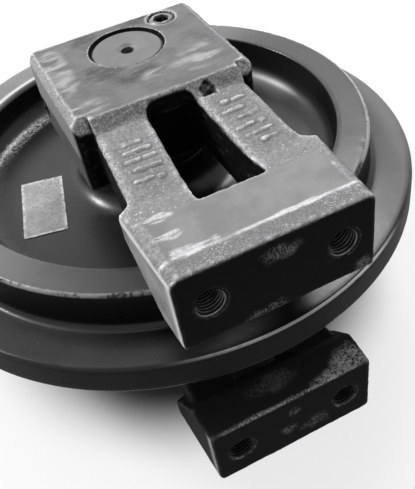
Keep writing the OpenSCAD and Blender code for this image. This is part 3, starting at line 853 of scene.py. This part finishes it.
def wheelPaint():
    paint = newFinish("satinWheelPaint")
    edge, flat, rim, wall, lipMask, lineMask = paint.masks("edge flat rim wall lip guideLine")
    x, y = paint.parts()[:2]
    radius = spread(x, y)
    cloud = paint.noise(60 * mm, 4)
    speck = paint.noise(2.6 * mm, 2)
    chips = paint.ramp(paint.noise(2.4 * mm, 2, 0.6) + edge * 0.06, 0.76, 0.82)
    dust = paint.ramp(paint.noise(1.8 * mm, 1), 0.74, 0.80)
    ragged = paint.noise(3.2 * mm, 3, 0.6) * 0.5 + paint.noise(34 * mm, 2) * 0.6
    drift = 0.05 * cloud
    right = paint.ramp(x + 0.3 * y, *wheelWearAndLight["right"])
    # painted shade: the upright walls get a darker tone than the flat faces
    tone = paint.mix(flat, grey(0.005), grey(0.012))
    # dust on the guide and the rim, with painted sheen towards the right and back where the lamps reflect,
    # and painted shade on the guide near the rim
    guideDustAndSheen = paint.ramp(x + 0.4 * y + drift, *wheelWearAndLight["guideDustAndSheen"])
    guide = 0.35 + 0.65 * paint.ramp(radius, *wheelWearAndLight["guideDustAndShade"])
    guide = guide * paint.ramp(radius, *wheelWearAndLight["guideStart"])
    tone = paint.mix(guideDustAndSheen * flat * guide, tone, grey(0.2))
    # the rim's face is dusty, and lighter at the left and back with painted sheen
    rimDustAndSheen = 1 - paint.ramp(x + drift, *wheelWearAndLight["rimDustSheenLeft"])
    rimDustAndSheen = rimDustAndSheen + paint.ramp(y + drift, *wheelWearAndLight["rimDustSheenBack"])
    rimTone = paint.mix(rimDustAndSheen, paint.mix(cloud, grey(0.04), grey(0.08)), grey(0.16))
    tone = paint.mix(rim, tone, rimTone)
    tone = paint.mix(paint.ramp(cloud, 0.45, 0.75) * 0.3 * flat, tone, grey(0.035))
    # edges worn bare, and painted highlights along the guide's edge and the inner lip
    rubbed = paint.ramp(edge, 0.78 - 0.14 * right, 1.0) * paint.ramp(ragged + 0.05 * right, 0.46, 0.60)
    tone = paint.mix(rubbed * 0.85, tone, paint.mix(right, grey(0.34), grey(0.62)))
    # painted highlight: a bright line on the guide's worn front edge
    line = paint.ramp(lineMask, 0.45, 0.95) * (1 - paint.ramp(y + 0.02 * cloud, *wheelWearAndLight["lineFront"]))
    line = line * paint.ramp(x, *wheelWearAndLight["lineLeft"])
    tone = paint.mix(line * paint.ramp(ragged, 0.30, 0.50), tone, grey(0.9))
    # painted highlight along the inner lip at the back
    lip = lipMask * paint.ramp(y - 0.5 * x + 0.04 * cloud, *wheelWearAndLight["lipHighlightBack"])
    tone = paint.mix(lip * paint.ramp(ragged, 0.26, 0.42), tone, grey(0.65))
    # dust and spots on the web, and dust with a painted highlight streak in the fillet at the left
    tone = paint.mix(dust * 0.35 * flat, tone, grey(0.2))
    # dust in the fillet, made light to stand for a painted highlight streak
    ring = paint.band(radius, wheelWearAndLight["ringStart"], wheelWearAndLight["ringEnd"])
    ring = ring * paint.ramp(y - 0.5 * x, *wheelWearAndLight["ringBack"])
    ring = ring * (1 - paint.ramp(x, *wheelWearAndLight["ringLeft"]))
    tone = paint.mix(ring * paint.ramp(paint.noise(3 * mm, 3, 0.65), 0.38, 0.70), tone, grey(0.55))
    spots = paint.ramp(paint.noise(5 * mm, 2, 0.6), 0.70, 0.80)
    tone = paint.mix(spots * 0.6 * flat, tone, grey(0.10))
    tone = paint.mix(chips * 0.7, tone, grey(0.42))
    # the paint in the web's fillet is lumpy at the left, smooth and glossy at the right
    dish = paint.band(radius, wheelWearAndLight["dishStart"], wheelWearAndLight["dishEnd"])
    smooth = paint.ramp(x, *wheelWearAndLight["smooth"])
    lumpy = dish * (1 - smooth)
    glossy = dish * smooth * paint.ramp(y - 0.4 * x, *wheelWearAndLight["glossy"])
    shine = 0.06 * lumpy - 0.10 * glossy + 0.10 * lipMask
    skin = paint.bump(paint.noise(6 * mm, 3, 0.6) * (1 + 6 * lumpy) + speck * 0.45, 0.09 * mm)
    satin = paint.surface(
        Base_Color=tone,
        Roughness=0.20 + 0.15 * cloud + 0.05 * speck - shine,
        Coat_Weight=0.9 * glossy,
        Coat_Roughness=0.42,
        Metallic=chips * 0.6,
        Specular_IOR_Level=0.27,
        Normal=skin)
    matt = paint.surface(  # the walls are painted thinly and shine less
        Base_Color=tone,
        Roughness=0.42 + 0.15 * cloud,
        Specular_IOR_Level=0.07,
        Normal=skin)
    return paint.close(paint.add("MixShader", {}, {0: wall, 1: satin, 2: matt}))


# cast steel: where its tones change, each a fade from the first place to the second
castChange = {
    "shaftBoreShade": (34.3 * mm, 34.8 * mm),  # radii that end the painted shade in the bores
    "pinBoreShade": (9.5 * mm, 10 * mm),
    "upper": (-10 * mm, 10 * mm),  # from the lower bracket to the upper one
    "sideFront": (-266 * mm, -256 * mm),
    "sideTop": (120 * mm, 125 * mm),
    "blockPaint": (113 * mm, 121 * mm),  # heights on the block's sides
    "footSide": (-190 * mm, -150 * mm),
    "foot": (-200 * mm, -186 * mm),
    "block": (-160 * mm, -100 * mm),
}


def castSteel():
    cast = newFinish("sandCastSteel")
    ground, end, sides, outward, rub, hollow = cast.masks("ground end sides outward rub hollow")
    scuff, stain, strip, stroke = cast.masks("scuff stain strip stroke")
    slope, corner, wear, pit = cast.masks("slope corner wear pit")
    x, y, z = cast.parts()
    sand = cast.noise(2.2 * mm, 3, 0.65)
    salt = cast.noise(1.4 * mm, 2, 0.7)
    patch = cast.noise(24 * mm, 3)
    strokes = cast.noise(15 * mm, 4, 0.55, cast.scaled((0.42, 1.5, 1.0)), 0.5)
    fine = cast.noise(2.2 * mm, 2, 0.5, cast.scaled((0.2, 1.0, 1.0)))
    lively = cast.ramp(patch, 0.42, 0.60)
    spark = cast.ramp(cast.noise(1.6 * mm, 2), 0.44, 0.60)
    upper = cast.ramp(z, *castChange["upper"])
    dark = cast.mix(cast.ramp(sand, 0.5, 0.75) * 0.5, grey(0.004), grey(0.014))
    # sand skin, light where it looks outward, partly bare sand and partly painted light on the faces the
    # lamps reach, and dark paint elsewhere
    skin = cast.mix(cast.ramp(sand, 0.3, 0.75), grey(0.19), grey(0.35))
    skin = cast.mix(cast.ramp(patch, 0.40, 0.60) * 0.6, skin, grey(0.22))
    stripTone = cast.mix(cast.ramp(salt, 0.46, 0.74) * (0.45 + 0.55 * lively), grey(0.19), grey(0.48))
    skin = cast.mix(strip, skin, stripTone)
    skin = cast.mix(slope * 0.9, skin, cast.mix(cast.ramp(salt, 0.46, 0.70), grey(0.24), grey(0.60)))
    # painted light: the slopes beside the legs are made pale
    skin = cast.mix(corner, skin, cast.mix(cast.ramp(salt, 0.42, 0.60), grey(0.34), grey(0.98)))
    # painted shade in the hollows and round the marks' feet
    skin = cast.mix(hollow * 0.75, skin, grey(0.05))
    # painted shade in the pit
    skin = cast.mix(pit * 0.95, skin, grey(0.006))
    glint = cast.ramp(cast.noise(1.9 * mm, 1), 0.65, 0.73) * lively
    skin = cast.mix(glint * 0.8, skin, grey(0.72))
    # painted light: the lower bracket's dark paint is lighter, offsetting the wheel's shade on it
    shaded = cast.mix(upper, grey(0.04), dark)
    # worn patches, and painted light on the lower bracket's inner face
    shaded = cast.mix(scuff * cast.ramp(sand + 0.3 * patch, 0.5, 0.8), shaded, grey(0.85))
    skin = cast.mix(outward, shaded, skin)
    # sides: painted on the lower bracket, with a painted highlight along the front and top edges
    footSide = cast.mix(cast.ramp(patch + 0.4 * sand, 0.5, 0.9), grey(0.22), grey(0.40))
    footSide = cast.mix(upper, grey(0.015), footSide)
    # painted highlight on the rounded edges of the sides
    sideEdgeHighlight = 1 - cast.ramp(y + 6 * mm * patch, *castChange["sideFront"])
    sideEdgeHighlight = sideEdgeHighlight.most(cast.ramp(z, *castChange["sideTop"]))
    footSide = cast.mix(sideEdgeHighlight * cast.ramp(sand + 0.3 * patch, 0.36, 0.62), footSide, grey(0.85))
    blockSide = cast.mix(cast.ramp(salt, 0.46, 0.70), grey(0.24), grey(0.38))
    height = abs(z) + 10 * mm * patch
    blockSide = cast.mix(cast.ramp(height, *castChange["blockPaint"]), grey(0.10), blockSide)
    side = cast.mix(cast.ramp(y, *castChange["footSide"]), footSide, blockSide)
    skin = cast.mix(sides * 0.9, skin, side)
    painted = cast.mix(scuff * cast.ramp(salt + 0.3 * patch, 0.56, 0.82), dark, grey(0.40))
    skin = cast.mix(end, skin, painted)
    # ground faces, darker on the block
    clouded = cast.ramp(patch, 0.35, 0.65)
    bare = cast.mix(clouded, grey(0.21), grey(0.26))
    bare = cast.mix(cast.ramp(y, *castChange["block"]), bare, cast.mix(clouded, grey(0.13), grey(0.17)))
    bare = cast.mix(stain * cast.ramp(strokes, 0.26, 0.42), bare, grey(0.075))
    bare = cast.mix(scuff * cast.ramp(strokes, 0.42, 0.60), bare, grey(0.36))
    bare = cast.mix(cast.ramp(fine, 0.45, 0.8) * 0.3, bare, grey(0.27))
    bare = cast.mix(cast.ramp(sand, 0.45, 0.7) * 0.3, bare, grey(0.22))
    tone = cast.mix(ground, skin, bare)
    # worn edges, rubbed strokes and painted shade in the bores
    foot = 1 - cast.ramp(y, *castChange["foot"])
    bareEdge = wear * cast.ramp(salt + 0.2 * patch, 0.56, 0.76) * (1 - ground) * (1 - 0.75 * foot)
    tone = cast.mix(bareEdge, tone, grey(0.60))
    hatch = cast.ramp(0.6 * stroke + fine, 0.85, 1.18) * (0.62 + 0.38 * spark)
    tone = cast.mix(outward * hatch, tone, grey(0.60))
    tone = cast.mix(rub * (0.45 + 0.5 * spark) * (0.15 + 0.85 * outward), tone, grey(0.62))
    pinY, pinZ = boreForm["pinPlace"]
    shaftBoreShade = 1 - cast.ramp(spread(x, y), *castChange["shaftBoreShade"])
    pinBoreShade = 1 - cast.ramp(spread(abs(z) - pinZ, y - pinY), *castChange["pinBoreShade"])
    tone = cast.mix(shaftBoreShade.most(pinBoreShade), tone, grey(0.006))
    relief = sand * (1 - 0.85 * ground) * (1 - 0.6 * end) * (0.6 + 0.7 * lively) + fine * ground * 0.2
    return cast.shade(
        Base_Color=tone,
        Roughness=0.62 - 0.14 * ground + 0.12 * sand - 0.1 * rub,
        Metallic=ground * 0.06 + rub * 0.3,
        Specular_IOR_Level=0.05,
        Normal=cast.bump(relief, 0.45 * mm))


# plain finishes
def turnedSteel(name, tone, ringSize):
    steel = newFinish(name)
    x, y, z = steel.parts()
    wave = 2 * math.pi / ringSize
    rings = (spread(x, y) * wave + z * wave).sine()
    stain = steel.noise(17 * mm, 4)
    return steel.shade(
        Base_Color=steel.mix(steel.ramp(stain, 0.35, 0.7), grey(tone * 0.85), grey(tone * 1.1)),
        Metallic=0.15,
        Roughness=0.46 + 0.12 * stain + 0.03 * rings,
        Normal=steel.bump(rings * 0.5 + steel.noise(1.2 * mm, 2), 0.02 * mm))


def metalStain(finish):
    return finish.noise(9 * mm, 4, 0.6)


def metalGrain(finish):
    return finish.bump(finish.noise(1.1 * mm, 3), 0.03 * mm)


def plainMetal(name, low, high, metal, rough):
    finish = newFinish(name)
    stain = metalStain(finish)
    return finish.shade(
        Base_Color=finish.mix(finish.ramp(stain, 0.35, 0.7), low, high),
        Metallic=metal,
        Roughness=rough + 0.14 * stain,
        Normal=metalGrain(finish))


lockBolt = {
    "socket": (7.4 * mm, 8.0 * mm),  # radii that end the painted shade in the socket
    "depth": (143.5 * mm, 145.5 * mm),  # heights between which the painted shade sets in
}


def boltZinc():
    zinc = newFinish("zincFastener")
    stain = metalStain(zinc)
    x, y, z = zinc.parts()
    boltX, boltY = boreForm["boltPlace"]
    # painted shade in the socket
    socketShade = 1 - zinc.ramp(spread(x - boltX, y - boltY), *lockBolt["socket"])
    socketShade = socketShade * (1 - zinc.ramp(abs(z), *lockBolt["depth"]))
    base = zinc.mix(zinc.ramp(stain, 0.35, 0.7), grey(0.10), grey(0.28))
    return zinc.shade(
        Base_Color=zinc.mix(socketShade, base, grey(0.006)),
        Metallic=0.4,
        Roughness=0.38 + 0.14 * stain,
        Normal=metalGrain(zinc))


def cutThread():
    cut = newFinish("cutThread")
    stain = metalStain(cut)
    # painted highlight on the crests, painted shade elsewhere
    crest = cut.mask("crest") * cut.ramp(stain, 0.25, 0.6)
    return cut.shade(
        Base_Color=cut.mix(crest, grey(0.007), grey(0.45)),
        Metallic=0.2 * crest,
        Roughness=0.36 + 0.14 * stain,
        Specular_IOR_Level=0.08,
        Normal=metalGrain(cut))


def stickerPaper():
    paper = newFinish("stickerPaper")
    stain = paper.noise(16 * mm, 4, 0.6)
    x = paper.parts()[0]
    grubby = paper.ramp(x, *stickerForm["grubby"])
    flecks = paper.ramp(paper.noise(1.6 * mm, 2, 0.6) + 0.25 * stain + 0.05 * grubby, 0.69, 0.79)
    tone = paper.mix(paper.ramp(stain, 0.35, 0.7), grey(0.25), grey(0.36))
    pale = paper.mask("border") * paper.ramp(paper.noise(5 * mm, 2), 0.36, 0.54)
    tone = paper.mix(pale, tone, grey(0.60))
    tone = paper.mix(flecks * 0.6, tone, grey(0.08))
    return paper.shade(
        Base_Color=tone,
        Roughness=0.5 + 0.2 * stain,
        Normal=paper.bump(paper.noise(2.4 * mm, 2), 0.05 * mm))


def dress(piece, material):
    piece.data.materials.clear()
    piece.data.materials.append(material)


def dressNode(node, material):
    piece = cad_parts[node]
    if not piece.material_slots:
        piece.data.materials.append(None)
    for slot in piece.material_slots:
        slot.material = material


dress(wheel, wheelPaint())
castFinish = castSteel()
for casting in brackets:
    dress(casting, castFinish)
threadFinish = cutThread()
for thread in threads:
    dress(thread, threadFinish)
dress(sticker, stickerPaper())
dressNode("shaft", turnedSteel("turnedShaft", 0.13, 1.1 * mm))
fastener = boltZinc()
rubber = plainMetal("sealRubber", grey(0.015), grey(0.03), 0.0, 0.55)
lapped = plainMetal("lappedIron", grey(0.42), grey(0.55), 0.9, 0.2)
bronze = plainMetal("bushBronze", (0.42, 0.27, 0.10), (0.58, 0.40, 0.17), 0.9, 0.3)
brass = plainMetal("plugBrass", (0.5, 0.36, 0.12), (0.68, 0.5, 0.2), 0.9, 0.3)
for level in ("upper", "lower"):
    dressNode(level + "_lock_bolt", fastener)
    dressNode(level + "_lock_pin", fastener)
    dressNode(level + "_bush", bronze)
    for ring in ("_moving_seal_ring", "_fixed_seal_ring"):
        dressNode(level + ring, lapped)
    for ring in ("_moving_toric", "_fixed_toric", "_shaft_o_ring"):
        dressNode(level + ring, rubber)
dressNode("oil_plug", brass)
print("finishes")


# floor, light and camera, in metres
studio = {
    "floorSize": 8.0,
    "floorTone": 0.9,  # as the camera sees it
    "floorBounce": 0.28,  # as it lights the part
    "floorGlow": 0.78,
    "floorShade": (0.165, 0.26),  # painted shadow under the wheel: no glow within the first radius, all of it outside the second
    "dome": 0.2,  # light of the surroundings
}
lamps = {
    "window": {"place": (-1.68, 1.29, 1.68), "aim": (0, 0, 0), "size": (0.57, 0.5), "power": 66},
    "ceiling": {"place": (0.15, 0.25, 1.7), "aim": (0, -0.05, 0), "size": (1.5, 1.1), "power": 7},
    "farWindow": {"place": (1.04, 1.04, 1.70), "aim": (0.1, -0.1, 0), "size": (0.5, 0.5), "power": 25},
    "horizon": {"place": (-0.35, 2.3, 1.25), "aim": (0, 0, 0), "size": (3.0, 1.7), "power": 14},
}


def aimMatrix(place, aim):
    direction = Vector(aim) - Vector(place)
    return Matrix.Translation(place) @ direction.to_track_quat("-Z", "Y").to_matrix().to_4x4()


def addSoftbox(name, box):
    lamp = bpy.data.lights.new(name, "AREA")
    lamp.shape = "RECTANGLE"
    lamp.size, lamp.size_y = box["size"]
    lamp.energy = box["power"]
    holder = bpy.data.objects.new(name, lamp)
    holder.matrix_world = aimMatrix(box["place"], box["aim"])
    scene.collection.objects.link(holder)


def seenRays(finish):  # 1 for rays that show the surface, 0 for those that light the part
    path = finish.add("LightPath").socket.node
    camera, glossy, clear = (Wire(finish, path.outputs["Is " + name + " Ray"])
                             for name in ("Camera", "Glossy", "Transmission"))
    return camera.most(glossy).most(clear)


def addFloor():
    half = studio["floorSize"] / 2
    height = cadBox[0][2]
    floor = makePiece("floor", [(-half, -half, height), (half, -half, height), (half, half, height),
                                (-half, half, height)], [(0, 1, 2, 3)])
    pale = newFinish("paleFloor")
    seen = seenRays(pale)
    x, y = pale.parts()[:2]
    clear = pale.ramp(spread(x, y), *studio["floorShade"])  # away from the painted shadow under the wheel
    shown = pale.mix(pale.noise(0.3, 2), grey(studio["floorTone"]), grey(studio["floorTone"] + 0.03))
    # painted shadow: the floor turns dark within the radius under the wheel
    shown = pale.mix(clear, grey(studio["floorBounce"]), shown)
    tone = pale.mix(seen, grey(studio["floorBounce"]), shown)
    matt = pale.add("BsdfDiffuse", {}, {"Color": tone})
    glow = pale.add("Emission", {}, {"Color": grey(1.0), "Strength": 1.0})
    share = seen * clear * studio["floorGlow"]
    dress(floor, pale.close(pale.add("MixShader", {}, {0: share, 1: matt, 2: glow})))


def addSurroundings():
    scene.world = bpy.data.worlds.new("surroundings")
    sky = Finish(scene.world)
    level = seenRays(sky) * (1 - studio["dome"]) + studio["dome"]
    sky.close(sky.add("Background", {}, {"Color": grey(1.0), "Strength": level}), "World")


viewForm = {
    "place": (-0.1438, -0.5776, 0.4509),
    "azimuth": 20.90,  # from +Y towards +X
    "elevation": 47.13,
    "roll": -8.85,
    "lens": 51.89,
    "shift": (-0.0783, 0.0871),
    "clipStart": 0.01,
}


def addCamera():
    azimuth, elevation, roll = (math.radians(viewForm[name]) for name in ("azimuth", "elevation", "roll"))
    ahead = Vector((math.cos(elevation) * math.sin(azimuth), math.cos(elevation) * math.cos(azimuth),
                    -math.sin(elevation)))
    level = Vector((math.cos(azimuth), -math.sin(azimuth), 0))
    right = level * math.cos(roll) + level.cross(ahead) * math.sin(roll)
    up = right.cross(ahead)
    lens = bpy.data.cameras.new("view")
    lens.lens = viewForm["lens"]
    lens.shift_x, lens.shift_y = viewForm["shift"]
    lens.clip_start = viewForm["clipStart"]
    holder = bpy.data.objects.new("view", lens)
    turn = Matrix((right, up, -ahead)).transposed().to_4x4()
    holder.matrix_world = Matrix.Translation(viewForm["place"]) @ turn
    scene.collection.objects.link(holder)
    scene.camera = holder


addFloor()
addSurroundings()
for lampName, lamp in lamps.items():
    addSoftbox(lampName, lamp)
addCamera()
print("studio")
